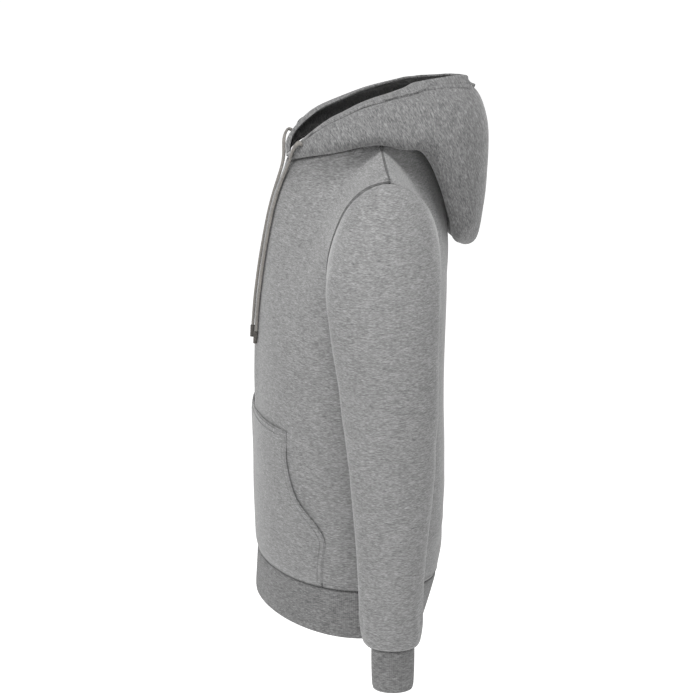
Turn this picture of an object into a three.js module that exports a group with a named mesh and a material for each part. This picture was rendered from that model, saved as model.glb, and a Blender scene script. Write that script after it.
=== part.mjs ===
import * as THREE from "three";

// Pullover hoodie in heather fleece, filled out as worn, with the hood lying back.
// Millimetres, +Z up. The front faces -Y and the wearer's left is +X.
// The origin is the middle of the neck, level with the tops of the shoulder seams.

// Cloth
const FLEECE_WALL = 2.0;
const RIB_WALL = 2.4;
const CASING_WALL = 4.0;
const SEAM_GAP = 0.3;

// Heights of the body
const HEM_SEAM_Z = -622;
const HEM_BAND_HEIGHT = 69;
const ARMPIT_Z = -215;
const CENTRE_DROP = 90;

// Shoulders and neck
const NECK_CENTRE_Y = -47;
const SHOULDER_TOP_DEGREES = 108;
const SHOULDER_POINT = new THREE.Vector3(215, -24.5, -35);
const SHOULDER_ROUND = 3;

// Sleeve ends
const CUFF_HEIGHT = 61;

// Pocket
const POCKET_TOP_Z = -400;
const POCKET_LIFT = 1.4;
const POCKET_MOUTH_LIFT = 2.2;
const POCKET_MOUTH_SHARPNESS = 6;
const POCKET_FOOT_CLEARANCE = 1;

// Hood and drawcord
const CASING_WIDTH = 24;
const CASING_SWELL = 0.7;
const CASING_STEP = 0.04;
const CASING_SHARE_AT_FRONT = 0.55;
const CORD_WIDTH = 8.4;
const CORD_THICKNESS = 3.6;
const CORD_STEPS = 64;
const TIP_LENGTH = 18;
const TIP_RADIUS = 3.4;
const TIP_END_RADIUS = 2.7;
const TIP_SIDES = 10;

// How finely each piece is divided
const PANEL_COLUMNS = 16;
const NECK_COLUMNS = 8;
const LOWER_ROWS = 7;
const UPPER_ROWS = 10;
const POCKET_COLUMNS = 18;
const POCKET_ROWS = 9;
const HOOD_ROWS = 13;
const CASING_ROWS = 3;

// How fast the bend of the lower body fades above the armpit, and how late that of the neck begins
const BODY_FADE = 2.5;
const NECK_RISE = 1.4;
const SMOOTHING_PASSES = 14;
const SMOOTHING_SHARE = 0.5;

const RADIANS = Math.PI / 180;

function table(names, ...rows) {
  return rows.map((row) => Object.fromEntries(names.map((name, i) => [name, row[i]])));
}

// Girth of the body at each height, on the side seam
const GIRTH = table(
  ["z", "halfWidth", "sideY", "squareness"],
  [-690, 196, -51, 1.95],
  [-655, 196, -51, 1.95],
  [-622, 198, -50, 2.0],
  [-590, 202, -49, 2.05],
  [-540, 204, -49, 2.15],
  [-420, 205, -49, 2.3],
  [-310, 205, -48, 2.3],
  [-260, 205, -47, 2.4],
  [-215, 203, -47, 2.5],
  [-170, 200, -47, 2.5],
);

// Centre front and centre back, from the hem to the neck seam
const FRONT_LINE = table(
  ["z", "y"],
  [-690, -187],
  [-655, -185],
  [-622, -183],
  [-560, -184],
  [-490, -185],
  [-420, -186],
  [-362, -188],
  [-309, -187],
  [-260, -186],
  [-215, -181],
  [-167, -174],
  [-120, -166],
  [-80, -155],
  [-40, -137],
);
const BACK_LINE = table(
  ["z", "y"],
  [-690, 54],
  [-655, 66],
  [-622, 75],
  [-590, 81],
  [-540, 84],
  [-420, 83],
  [-309, 83],
  [-238, 89],
  [-167, 93.5],
  [-110, 87.5],
  [-60, 76],
  [-25, 65],
  [6, 50],
);

// How far the hem rises at the centre front and sinks at the centre back
const HEM_TILT = table(
  ["z", "front", "back"],
  [-690, 12, -20],
  [-622, 6, -20],
  [-560, 2, -9],
  [-480, 0, -2],
  [-430, 0, 0],
  [-300, 0, 0],
);

// Armhole of the left side, from the side seam up to the shoulder point
const FRONT_ARMHOLE = table(
  ["x", "y", "z"],
  [203, -47, -215],
  [200, -77, -207],
  [194, -102, -186],
  [191, -106.5, -150],
  [196, -94, -98],
  [204, -75.5, -62],
  [210, -51.5, -42],
  [215, -24.5, -35],
);
const BACK_ARMHOLE = table(
  ["x", "y", "z"],
  [203, -47, -215],
  [201, -8, -211],
  [196, 20.5, -196],
  [191, 39, -170],
  [190, 47, -138],
  [192, 43, -103],
  [200, 25.5, -65],
  [210, 2, -46],
  [215, -24.5, -35],
);

// Sleeve rings from the armhole down: the edge at the body, the outer edge, and the front and back reach
const SLEEVE_RINGS = table(
  ["innerX", "innerZ", "outerX", "outerZ", "frontY", "backY"],
  [203, -215, 215, -35, -109.5, 44],
  [206, -219, 236, -42, -112, 43],
  [208, -223, 256, -58, -114.5, 42.5],
  [209.5, -227, 275, -84, -116, 41],
  [210.5, -231, 291, -118, -118, 40],
  [211, -236, 303, -158, -116.5, 38],
  [211.5, -244, 311, -204, -113.5, 36.5],
  [211.5, -262, 316, -254, -109.5, 35],
  [211.5, -308, 318, -306, -101.5, 35],
  [213, -360, 317, -360, -95.5, 34],
  [215, -420, 316, -420, -87.5, 31],
  [218, -480, 314, -480, -82.5, 26],
  [222, -540, 312, -540, -77.5, 19.5],
  [226, -600, 311, -600, -74.5, 15],
  [229, -642, 309, -642, -72.5, 14],
  [231, -662, 308, -662, -70, 12],
  [234, -671, 306, -671, -65.5, 9],
  [241, -675, 299, -675, -57.5, 2],
);

// Cuff rings below the sleeve seam
const CUFF_RINGS = table(
  ["drop", "halfX", "halfY"],
  [0, 29, 30],
  [22, 29, 30],
  [44, 28.5, 29.5],
  [CUFF_HEIGHT, 27.5, 28.5],
);
const CUFF_CENTRE = { x: 270, y: -27, z: -675 };

// Front pocket: the reach of each edge to the side, from the top down to the hem seam
const POCKET_EDGE = table(
  ["z", "halfWidth"],
  [-400, 138],
  [-430, 139],
  [-455, 142],
  [-480, 150],
  [-500, 160],
  [-513, 170],
  [-524, 179],
  [-534, 186],
  [-575, 182],
  [-618, 175],
);

// Hood sections by angle round the neck, from the centre front: radius and height of the neck seam,
// of the layer that lies on the body, of the lowest place, of the fold behind it, of the widest place,
// of the bend below the rim, and of the rim
const HOOD_SECTIONS = table(
  [
    "degrees", "seamR", "seamZ", "innerR", "innerZ", "lowR", "lowZ", "foldR", "foldZ",
    "outR", "outZ", "highR", "highZ", "rimR", "rimZ",
  ],
  [0, 90, -40, 91, -37.5, 91.5, -36, 92, -34, 92, -32, 91, -29, 88, -27],
  [15, 91, -36.5, 92, -34.5, 93, -32, 94, -30, 94, -28, 92.5, -24, 88, -19],
  [30, 92, -31, 94, -30, 96, -28, 98, -25, 98.5, -21, 96, -12, 85, -2],
  [50, 92.5, -22.5, 97, -22, 101, -18, 103, -12, 101, -3, 89, 12, 62, 24.5],
  [70, 93, -14.5, 99, -15, 105, -12, 108, -5, 106, 6, 84, 26, 48.5, 36],
  [90, 93, -6.5, 101, -6, 109, -3, 113, 3, 111.5, 14, 84, 35, 42.5, 44],
  [115, 94, -0.5, 104, 1, 115, 1, 122, 7, 123, 19, 99, 44, 47.5, 52.5],
  [135, 95, 2.5, 112, 1, 132, -12, 144, -8, 149, 10, 121, 50, 61, 59.5],
  [150, 95.5, 4.5, 124, -8, 152, -120, 167, -112, 176, -16, 155, 43, 79, 67],
  [165, 96, 5.5, 130, -30, 149, -158, 169, -158, 191, -40, 176, 42, 97, 73.5],
  [180, 97, 6, 134, -42, 149, -167, 174, -167, 196, -50, 188, 44, 167.6, 78.5],
);

// Left drawcord: square out of its eyelet in the hood casing, then down the chest to its bound tip
const CORD_ROUTE = [
  [59.71, -125.19, -7.06],
  [60.5, -129.3, -5.2],
  [58.2, -133.6, -9.4],
  [53, -136.6, -15.8],
  [46, -138.1, -23],
  [37.5, -139, -31.5],
  [29, -140.6, -40.5],
  [22.5, -143.6, -51],
  [18, -149, -66],
  [16, -157.6, -92],
  [16.5, -163.8, -116],
  [17.5, -170.8, -151],
  [18.5, -176.9, -186],
  [19.5, -181, -215],
  [20, -184.6, -245],
  [20.5, -187.5, -282],
];

const FLEECE_GREY = 0x8f9092;
const HOOD_GREY = 0x87888a;
const RIB_GREY = 0x7f8083;
const CORD_GREY = 0x85827f;
const TIP_GREY = 0x5f5d5b;

// A smooth track through one column of a table, read at any place along its key column
function track(rows, key, value) {
  const knots = [...rows].sort((a, b) => a[key] - b[key]);
  const last = knots.length - 1;
  const slope = (i) => {
    const before = knots[Math.max(i - 1, 0)];
    const after = knots[Math.min(i + 1, last)];
    return (after[value] - before[value]) / (after[key] - before[key]);
  };
  return (at) => {
    const above = knots.findIndex((knot) => knot[key] > at);
    const i = above < 0 ? last - 1 : Math.max(above - 1, 0);
    const from = knots[i];
    const to = knots[i + 1];
    const span = to[key] - from[key];
    const t = THREE.MathUtils.clamp((at - from[key]) / span, 0, 1);
    const startWeight = (1 + 2 * t) * (1 - t) ** 2;
    const endWeight = t * t * (3 - 2 * t);
    const startTurn = t * (1 - t) ** 2 * span * slope(i);
    const endTurn = t * t * (t - 1) * span * slope(i + 1);
    return from[value] * startWeight + to[value] * endWeight + startTurn + endTurn;
  };
}

function curveThrough(rows) {
  const points = rows.map((row) => new THREE.Vector3(row.x, row.y, row.z));
  return new THREE.CatmullRomCurve3(points, false, "centripetal");
}

function mix(a, b, t) {
  return a + (b - a) * t;
}

function steps(count) {
  return Array.from({ length: count + 1 }, (_, i) => i / count);
}

// Points of a piece's other side: x changes sign and the columns run the other way
function mirrored(rows) {
  return rows.map((row) => row.map((p) => new THREE.Vector3(-p.x, p.y, p.z)).reverse());
}

// Outward direction at each point of a grid whose columns run anticlockwise seen from above
// and whose rows run from the lower seam upward
function gridNormals(rows, closed) {
  const lastRow = rows.length - 1;
  return rows.map((row, r) => row.map((_, c) => {
    const count = row.length;
    const right = closed ? (c + 1) % count : Math.min(c + 1, count - 1);
    const left = closed ? (c + count - 1) % count : Math.max(c - 1, 0);
    const along = row[right].clone().sub(row[left]);
    const up = rows[Math.min(r + 1, lastRow)][c].clone().sub(rows[Math.max(r - 1, 0)][c]);
    return along.cross(up).normalize();
  }));
}

// The same piece on the wearer's other side
function mirroredGeometry(geometry) {
  const copy = geometry.clone().scale(-1, 1, 1);
  const index = copy.index.array;
  for (let i = 0; i < index.length; i += 3) {
    [index[i], index[i + 1]] = [index[i + 1], index[i]];
  }
  copy.computeVertexNormals();
  return copy;
}

// One closed body for a cloth wall. `closed` joins the last column to the first, `wallAt` gives the
// thickness at a row, and `turn` may change the direction in which a seam's points move inward.
function clothWall(rows, { closed = false, wallAt = () => FLEECE_WALL, turn = () => {} }) {
  const normals = gridNormals(rows, closed);
  const columns = rows[0].length;
  const positions = [];
  for (const [r, row] of rows.entries()) {
    for (const [c, point] of row.entries()) {
      turn(normals[r][c], r, c);
      positions.push(point.x, point.y, point.z);
    }
  }
  for (const [r, row] of rows.entries()) {
    for (const [c, point] of row.entries()) {
      const inner = point.clone().addScaledVector(normals[r][c].normalize(), -wallAt(r, c));
      positions.push(inner.x, inner.y, inner.z);
    }
  }
  const outer = (r, c) => r * columns + (c % columns);
  const inner = (r, c) => outer(r, c) + rows.length * columns;
  const index = [];
  const quad = (a, b, c, d) => index.push(a, b, c, a, c, d);
  const spans = closed ? columns : columns - 1;
  const top = rows.length - 1;
  for (let r = 0; r < top; r += 1) {
    for (let c = 0; c < spans; c += 1) {
      quad(outer(r, c), outer(r, c + 1), outer(r + 1, c + 1), outer(r + 1, c));
      quad(inner(r, c), inner(r + 1, c), inner(r + 1, c + 1), inner(r, c + 1));
    }
    if (!closed) {
      quad(outer(r, 0), outer(r + 1, 0), inner(r + 1, 0), inner(r, 0));
      quad(outer(r, spans), inner(r, spans), inner(r + 1, spans), outer(r + 1, spans));
    }
  }
  for (let c = 0; c < spans; c += 1) {
    quad(outer(0, c), inner(0, c), inner(0, c + 1), outer(0, c + 1));
    quad(outer(top, c), outer(top, c + 1), inner(top, c + 1), inner(top, c));
  }
  const geometry = new THREE.BufferGeometry();
  geometry.setAttribute("position", new THREE.Float32BufferAttribute(positions, 3));
  geometry.setIndex(index);
  geometry.computeVertexNormals();
  return geometry;
}

const hoodie = new THREE.Group();

function addPiece(name, geometry, color, roughness = 0.95) {
  const material = new THREE.MeshStandardMaterial({ color, roughness, metalness: 0 });
  const mesh = new THREE.Mesh(geometry, material);
  mesh.name = name;
  hoodie.add(mesh);
  return mesh;
}

// Body surface
const halfWidthAt = track(GIRTH, "z", "halfWidth");
const sideYAt = track(GIRTH, "z", "sideY");
const squarenessAt = track(GIRTH, "z", "squareness");
const frontSide = {
  centreY: track(FRONT_LINE, "z", "y"),
  armhole: curveThrough(FRONT_ARMHOLE),
  neckStart: 0,
  neckZ: FRONT_LINE.at(-1).z,
  tilt: track(HEM_TILT, "z", "front"),
  seamShift: -SEAM_GAP / 2,
};
const backSide = {
  centreY: track(BACK_LINE, "z", "y"),
  armhole: curveThrough(BACK_ARMHOLE),
  neckStart: 180,
  neckZ: BACK_LINE.at(-1).z,
  tilt: track(HEM_TILT, "z", "back"),
  seamShift: SEAM_GAP / 2,
};

// A point of the body below the armpit. `across` is 0 at the centre line and 1 at the side seam.
function bodyPoint(side, across, z) {
  const angle = across * 90 * RADIANS;
  const power = 2 / squarenessAt(z);
  const x = halfWidthAt(z) * Math.sin(angle) ** power;
  const y = mix(sideYAt(z), side.centreY(z), Math.cos(angle) ** power);
  const tilted = z + side.tilt(z) * Math.cos(angle) ** 2;
  return new THREE.Vector3(x, y + side.seamShift, tilted);
}

const seamRadiusAt = track(HOOD_SECTIONS, "degrees", "seamR");
const seamHeightAt = track(HOOD_SECTIONS, "degrees", "seamZ");

function roundNeck(degrees, radius, z) {
  const x = radius * Math.sin(degrees * RADIANS);
  const y = NECK_CENTRE_Y - radius * Math.cos(degrees * RADIANS);
  return new THREE.Vector3(x, y, z);
}

// The neck seam's angle at a panel column, so that the hood and the panels share its points
function neckDegrees(side, column) {
  return mix(side.neckStart, SHOULDER_TOP_DEGREES, column / NECK_COLUMNS);
}

// Upper edge of a panel: the neck seam, then the shoulder seam
function topEdge(side, column) {
  if (column <= NECK_COLUMNS) {
    const degrees = neckDegrees(side, column);
    return roundNeck(degrees, seamRadiusAt(degrees), seamHeightAt(degrees));
  }
  const t = (column - NECK_COLUMNS) / (PANEL_COLUMNS - NECK_COLUMNS);
  const neckEnd = topEdge(side, NECK_COLUMNS);
  const point = neckEnd.lerp(SHOULDER_POINT, t);
  point.z += SHOULDER_ROUND * 4 * t * (1 - t);
  return point;
}

// Upper part of a panel: rows run between the centre line and the armhole, and their bend goes
// from that of the body below to that of the neck and shoulder above
function upperPoint(side, column, rise) {
  const across = column / PANEL_COLUMNS;
  const low = (at) => bodyPoint(side, at, lowerTop(at));
  const centreZ = mix(lowerTop(0), side.neckZ, rise);
  const centre = new THREE.Vector3(0, side.centreY(centreZ) + side.seamShift, centreZ);
  const shift = new THREE.Vector3(0, side.seamShift, 0);
  const arm = side.armhole.getPointAt(rise).add(shift);
  const lowBend = low(across).sub(low(0).lerp(low(1), across));
  const topChord = topEdge(side, 0).lerp(topEdge(side, PANEL_COLUMNS), across);
  const topBend = topEdge(side, column).sub(topChord);
  const ruled = centre.lerp(arm, across);
  ruled.addScaledVector(lowBend, (1 - rise) ** BODY_FADE);
  return ruled.addScaledVector(topBend, rise ** NECK_RISE);
}

function lowerTop(across) {
  return ARMPIT_Z - CENTRE_DROP * (1 - across ** 2);
}

function halfPanel(side) {
  const columns = steps(PANEL_COLUMNS);
  const lower = steps(LOWER_ROWS).map((rise) => columns.map((across) => (
    bodyPoint(side, across, mix(HEM_SEAM_Z, lowerTop(across), rise))
  )));
  const upper = steps(UPPER_ROWS).slice(1).map((rise) => columns.map((_, column) => (
    upperPoint(side, column, rise)
  )));
  const rows = [...lower, ...upper];
  smooth(rows, LOWER_ROWS - 2, rows.length - 1);
  return rows;
}

// Evens out the points between two rows and between a panel's edges
function smooth(rows, first, last) {
  for (let pass = 0; pass < SMOOTHING_PASSES; pass += 1) {
    for (let r = first; r < last; r += 1) {
      for (let c = 1; c < rows[r].length - 1; c += 1) {
        const around = [rows[r - 1][c], rows[r + 1][c], rows[r][c - 1], rows[r][c + 1]];
        const mean = around.reduce((sum, p) => sum.add(p), new THREE.Vector3()).divideScalar(4);
        rows[r][c].lerp(mean, SMOOTHING_SHARE);
      }
    }
  }
}

// Joins a half panel to its mirror image at the centre line
function fullPanel(half, startsAtCentre) {
  const other = mirrored(half);
  return half.map((row, r) => (
    startsAtCentre
      ? [...other[r].slice(0, -1), ...row]
      : [...row.toReversed(), ...other[r].toReversed().slice(1)]
  ));
}

// On a shoulder seam the wall goes straight down, and on a side seam straight in
function panelTurn(normal, r, c) {
  const column = Math.abs(c - PANEL_COLUMNS);
  const onTop = r === LOWER_ROWS + UPPER_ROWS;
  if (onTop && column >= NECK_COLUMNS) {
    normal.y = 0;
  }
  if (column === PANEL_COLUMNS && r <= LOWER_ROWS) {
    normal.y = 0;
  }
}

function addBody() {
  const front = fullPanel(halfPanel(frontSide), true);
  const back = fullPanel(halfPanel(backSide), false);
  const armholeRows = steps(UPPER_ROWS).map((_, k) => LOWER_ROWS + k);
  const frontNormals = gridNormals(front, false);
  const backNormals = gridNormals(back, false);
  frontSide.armholeNormals = armholeRows.map((r) => frontNormals[r].at(-1));
  backSide.armholeNormals = armholeRows.map((r) => backNormals[r][0]);
  addPiece("front", clothWall(front, { turn: panelTurn }), FLEECE_GREY);
  addPiece("back", clothWall(back, { turn: panelTurn }), FLEECE_GREY);
}

// Hem band: one rib tube with the panels' columns
function addHemBand() {
  const rows = [HEM_BAND_HEIGHT, HEM_BAND_HEIGHT / 2, 0].map((drop) => {
    const z = HEM_SEAM_Z - drop;
    const place = (side, across) => bodyPoint(side, across, z).sub(new THREE.Vector3(0, 0, SEAM_GAP));
    const half = steps(PANEL_COLUMNS);
    const frontHalf = half.map((across) => place(frontSide, across));
    const backHalf = half.slice(0, -1).reverse().map((across) => place(backSide, across));
    const left = [...frontHalf, ...backHalf];
    const right = left.slice(1, -1).map((p) => new THREE.Vector3(-p.x, p.y, p.z)).reverse();
    return [...left, ...right];
  });
  addPiece("hem_band", clothWall(rows, { closed: true, wallAt: () => RIB_WALL }), RIB_GREY);
}

// Sleeve ring point: `turn` is 0 at the body side, 0.25 in front, 0.5 outside and 0.75 behind
function sleeveRingPoint(ring, turn) {
  const angle = turn * 360 * RADIANS;
  const outward = (1 - Math.cos(angle)) / 2;
  const x = mix(ring.innerX, ring.outerX, outward);
  const z = mix(ring.innerZ, ring.outerZ, outward);
  const y = mix(ring.backY, ring.frontY, (1 + Math.sin(angle)) / 2);
  return new THREE.Vector3(x, y, z);
}

function armholePoint(turn) {
  const onFront = turn <= 0.5;
  const side = onFront ? frontSide : backSide;
  const rise = onFront ? turn * 2 : 2 - turn * 2;
  const point = side.armhole.getPointAt(rise);
  return point.add(new THREE.Vector3(SEAM_GAP, side.seamShift, 0));
}

// The armhole's own shape fades out over the first rings of the sleeve
const ARMHOLE_FADE_RINGS = 6;
const UNDERARM_SHARE = 0.2;

function sleeveRows() {
  const turns = steps(2 * UPPER_ROWS).slice(0, -1);
  const rows = SLEEVE_RINGS.map((ring, r) => turns.map((turn) => {
    const point = sleeveRingPoint(ring, turn);
    const fade = THREE.MathUtils.smoothstep(ARMHOLE_FADE_RINGS - r, 0, ARMHOLE_FADE_RINGS);
    const own = armholePoint(turn).sub(sleeveRingPoint(SLEEVE_RINGS[0], turn));
    return point.addScaledVector(own, fade);
  }));
  return rows.reverse();
}

function cuffRows() {
  const turns = steps(2 * UPPER_ROWS).slice(0, -1);
  const rows = CUFF_RINGS.map((ring) => turns.map((turn) => {
    const angle = turn * 360 * RADIANS;
    const x = CUFF_CENTRE.x - ring.halfX * Math.cos(angle);
    const y = CUFF_CENTRE.y - ring.halfY * Math.sin(angle);
    return new THREE.Vector3(x, y, CUFF_CENTRE.z - SEAM_GAP - ring.drop);
  }));
  return rows.reverse();
}

// Over the shoulder the sleeve's wall starts in the same direction as the panel's, so that the two
// seam edges stay parallel. Under the arm it keeps its own.
function armholeTurn(normal, r, c) {
  if (r < SLEEVE_RINGS.length - 1) {
    return;
  }
  const onFront = c <= UPPER_ROWS;
  const side = onFront ? frontSide : backSide;
  const rise = onFront ? c : 2 * UPPER_ROWS - c;
  const shared = side.armholeNormals[rise].clone();
  if (rise === UPPER_ROWS) {
    shared.y = 0;
  }
  normal.lerp(shared, THREE.MathUtils.smoothstep(rise / UPPER_ROWS, UNDERARM_SHARE, 2 * UNDERARM_SHARE));
}

function addPair(name, geometry, color) {
  addPiece(`${name}_left`, geometry, color);
  addPiece(`${name}_right`, mirroredGeometry(geometry), color);
}

function addSleeves() {
  const sleeve = clothWall(sleeveRows(), { closed: true, turn: armholeTurn });
  const cuff = clothWall(cuffRows(), { closed: true, wallAt: () => RIB_WALL });
  addPair("sleeve", sleeve, FLEECE_GREY);
  addPair("cuff", cuff, RIB_GREY);
}

// How far across the front panel a distance to the side lies
function acrossAt(x, z) {
  const share = Math.min(Math.abs(x) / halfWidthAt(z), 1);
  return Math.asin(share ** (squarenessAt(z) / 2)) / (90 * RADIANS);
}

// Kangaroo pocket: the front panel's own surface moved out, a little further at the hand openings
function addPocket() {
  const edgeAt = track(POCKET_EDGE, "z", "halfWidth");
  const place = (x, z) => {
    const point = bodyPoint(frontSide, acrossAt(x, z), z);
    point.x *= Math.sign(x);
    return point;
  };
  const rows = steps(POCKET_ROWS).map((rise) => {
    const z = mix(HEM_SEAM_Z + POCKET_FOOT_CLEARANCE, POCKET_TOP_Z, rise);
    return steps(POCKET_COLUMNS).map((share) => place(mix(-1, 1, share) * edgeAt(z), z));
  });
  const normals = gridNormals(rows, false);
  for (const [r, row] of rows.entries()) {
    for (const [c, point] of row.entries()) {
      const toEdge = Math.abs(mix(-1, 1, c / POCKET_COLUMNS));
      const open = toEdge ** POCKET_MOUTH_SHARPNESS * Math.sin(Math.PI * (r / POCKET_ROWS));
      const lift = mix(POCKET_LIFT, POCKET_MOUTH_LIFT, open);
      point.addScaledVector(normals[r][c], lift + FLEECE_WALL);
    }
  }
  addPiece("pocket", clothWall(rows, {}), FLEECE_GREY);
}

// Hood: left and right panels, joined along the centre back. The section at each angle runs from
// the neck seam over the body, round the fold and up to the rim.
const hoodTrack = Object.fromEntries(
  Object.keys(HOOD_SECTIONS[0]).slice(1).map((name) => [name, track(HOOD_SECTIONS, "degrees", name)]),
);

function hoodSection(degrees) {
  const points = ["seam", "inner", "low", "fold", "out", "high", "rim"].map((place) => {
    const radius = hoodTrack[`${place}R`](degrees);
    const z = hoodTrack[`${place}Z`](degrees);
    return new THREE.Vector3(radius, 0, z);
  });
  return new THREE.CatmullRomCurve3(points, false, "centripetal");
}

function hoodRows() {
  const frontColumns = steps(NECK_COLUMNS).map((share) => neckDegrees(frontSide, share * NECK_COLUMNS));
  const backColumns = steps(NECK_COLUMNS).map((share) => neckDegrees(backSide, share * NECK_COLUMNS));
  const degrees = [...frontColumns, ...backColumns.reverse().slice(1)];
  const sections = degrees.map(hoodSection);
  const casings = sections.map((section) => {
    const length = section.getLength();
    return Math.min(CASING_WIDTH, length * CASING_SHARE_AT_FRONT) / length;
  });
  const place = (column, share) => {
    const point = sections[column].getPointAt(Math.min(share, 1));
    const placed = roundNeck(degrees[column], point.x, point.z + SEAM_GAP);
    placed.x += SEAM_GAP / 2;
    return placed;
  };
  const body = steps(HOOD_ROWS).map((rise) => degrees.map((_, c) => place(c, rise * (1 - casings[c]))));
  const casing = [CASING_STEP, ...steps(CASING_ROWS).slice(1)].map((rise) => (
    degrees.map((_, c) => place(c, mix(1 - casings[c], 1, rise)))
  ));
  const rows = [...body, ...casing];
  const normals = gridNormals(rows, false);
  for (let r = body.length; r < rows.length - 1; r += 1) {
    rows[r].forEach((point, c) => point.addScaledVector(normals[r][c], CASING_SWELL));
  }
  return rows;
}

function addHood() {
  const rows = hoodRows();
  const firstCasingRow = HOOD_ROWS + 1;
  const wall = {
    wallAt: (r) => (r >= firstCasingRow ? CASING_WALL : FLEECE_WALL),
    turn: (normal, r, c) => {
      if (c === 0 || c === rows[0].length - 1) {
        normal.x = 0;
      }
    },
  };
  addPair("hood", clothWall(rows, wall), HOOD_GREY);
}

// Flat drawcords with bound tips
function cordSection(width, thickness, turn) {
  const corner = thickness / 3;
  const outline = [
    [width / 2, thickness / 2 - corner],
    [width / 2 - corner, thickness / 2],
    [corner - width / 2, thickness / 2],
    [-width / 2, thickness / 2 - corner],
    [-width / 2, corner - thickness / 2],
    [corner - width / 2, -thickness / 2],
    [width / 2 - corner, -thickness / 2],
    [width / 2, corner - thickness / 2],
  ];
  const points = outline.map(([x, y]) => new THREE.Vector2(x, y).rotateAround(new THREE.Vector2(), turn));
  return new THREE.Shape(points);
}

function addCord(name, sideSign) {
  const points = CORD_ROUTE.map(([x, y, z]) => new THREE.Vector3(x * sideSign, y, z));
  const route = new THREE.CatmullRomCurve3(points, false, "centripetal");
  const frame = route.computeFrenetFrames(CORD_STEPS, false);
  const across = new THREE.Vector3(1, 0, 0);
  const end = CORD_STEPS;
  const turn = Math.atan2(across.dot(frame.binormals[end]), across.dot(frame.normals[end]));
  const section = cordSection(CORD_WIDTH, CORD_THICKNESS, turn);
  const tube = new THREE.ExtrudeGeometry(section, { steps: CORD_STEPS, extrudePath: route });
  addPiece(`cord_${name}`, tube, CORD_GREY);
  const tip = new THREE.CylinderGeometry(TIP_RADIUS, TIP_END_RADIUS, TIP_LENGTH, TIP_SIDES);
  const piece = addPiece(`cord_tip_${name}`, tip, TIP_GREY, 0.8);
  const down = route.getTangentAt(1);
  piece.quaternion.setFromUnitVectors(new THREE.Vector3(0, -1, 0), down);
  piece.position.copy(points.at(-1)).addScaledVector(down, SEAM_GAP + TIP_LENGTH / 2);
}

addBody();
addHemBand();
addSleeves();
addPocket();
addHood();
addCord("left", 1);
addCord("right", -1);

export default hoodie;
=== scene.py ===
# %% [markdown]
# A pullover hoodie of heather fleece, filled out as it is when worn, with the hood lying back.
# A sewn garment is a handful of flat pieces joined at their seams. Each piece is therefore its own
# sheet here, taken from the outer layer of its CAD wall, refined, creased and given a wall of cloth.

# %% Tools and the frame
import math

import bmesh
import bpy
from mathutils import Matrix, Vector
from mathutils.bvhtree import BVHTree
from mathutils.kdtree import KDTree


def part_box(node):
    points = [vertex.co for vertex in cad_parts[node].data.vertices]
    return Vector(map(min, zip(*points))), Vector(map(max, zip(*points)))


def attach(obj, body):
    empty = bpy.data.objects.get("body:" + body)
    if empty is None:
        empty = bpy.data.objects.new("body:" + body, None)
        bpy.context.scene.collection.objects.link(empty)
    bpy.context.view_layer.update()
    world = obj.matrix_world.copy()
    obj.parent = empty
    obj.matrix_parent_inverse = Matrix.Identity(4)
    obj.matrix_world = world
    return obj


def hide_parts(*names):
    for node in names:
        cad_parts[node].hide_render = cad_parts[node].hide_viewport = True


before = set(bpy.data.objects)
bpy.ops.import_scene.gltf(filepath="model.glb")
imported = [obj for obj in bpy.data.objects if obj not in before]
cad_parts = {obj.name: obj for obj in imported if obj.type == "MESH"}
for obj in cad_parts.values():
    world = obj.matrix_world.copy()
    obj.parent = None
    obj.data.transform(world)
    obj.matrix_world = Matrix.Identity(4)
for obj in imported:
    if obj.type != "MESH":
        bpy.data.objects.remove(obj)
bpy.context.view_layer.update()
print("CAD nodes:", len(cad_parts))

# %% [markdown]
# The camera comes first, because it settles which creases and stitches show. A long lens from the
# wearer's left looks slightly down, so the hem curves and the far rim of the hood shows.

# %% Camera
CAMERA_DISTANCE = 4.0
CAMERA_HEIGHT = 0.68
CAMERA_TURN = math.radians(82)
CAMERA_PITCH = math.radians(14.04)
BODY_MIDDLE_Y = -0.049
SENSOR_MM = 36
FOCAL_LENGTH_IN_FRAMES = 4.08

camera_data = bpy.data.cameras.new("photo_camera")
camera_data.sensor_width = SENSOR_MM
camera_data.lens = SENSOR_MM * FOCAL_LENGTH_IN_FRAMES
camera_data.clip_end = 50
camera = bpy.data.objects.new("photo_camera", camera_data)
camera.location = (
    CAMERA_DISTANCE * math.sin(CAMERA_TURN),
    BODY_MIDDLE_Y - CAMERA_DISTANCE * math.cos(CAMERA_TURN),
    CAMERA_HEIGHT,
)
camera.rotation_euler = (math.pi / 2 - CAMERA_PITCH, 0, CAMERA_TURN)
bpy.context.scene.collection.objects.link(camera)
bpy.context.scene.camera = camera
print("Lens:", round(camera_data.lens, 1), "mm")

# %% [markdown]
# The CAD walls are made of loose triangles, so a copy of one is merged and turned back into quads.
# A smooth sheet needs its outer layer alone: the layer ends where the wall turns over its edge,
# so the faces that are reached without crossing a sharp edge are that layer.

# %% From a CAD wall to a smooth sheet
MERGE_DISTANCE = 1e-5
QUAD_ANGLE = math.radians(60)
EDGE_TURN = math.radians(55)


def linked(name, mesh):
    piece = bpy.data.objects.new(name, mesh)
    bpy.context.scene.collection.objects.link(piece)
    return piece


def mesh_from(shape, name):
    """Turns a bmesh into a mesh and frees it."""
    mesh = bpy.data.meshes.new(name)
    shape.to_mesh(mesh)
    shape.free()
    return mesh


def quads_of(node):
    shape = bmesh.new()
    shape.from_mesh(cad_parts[node].data)
    bmesh.ops.remove_doubles(shape, verts=shape.verts, dist=MERGE_DISTANCE)
    bmesh.ops.join_triangles(
        shape,
        faces=shape.faces,
        angle_face_threshold=QUAD_ANGLE,
        angle_shape_threshold=math.pi,
    )
    shape.normal_update()
    return shape


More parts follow.
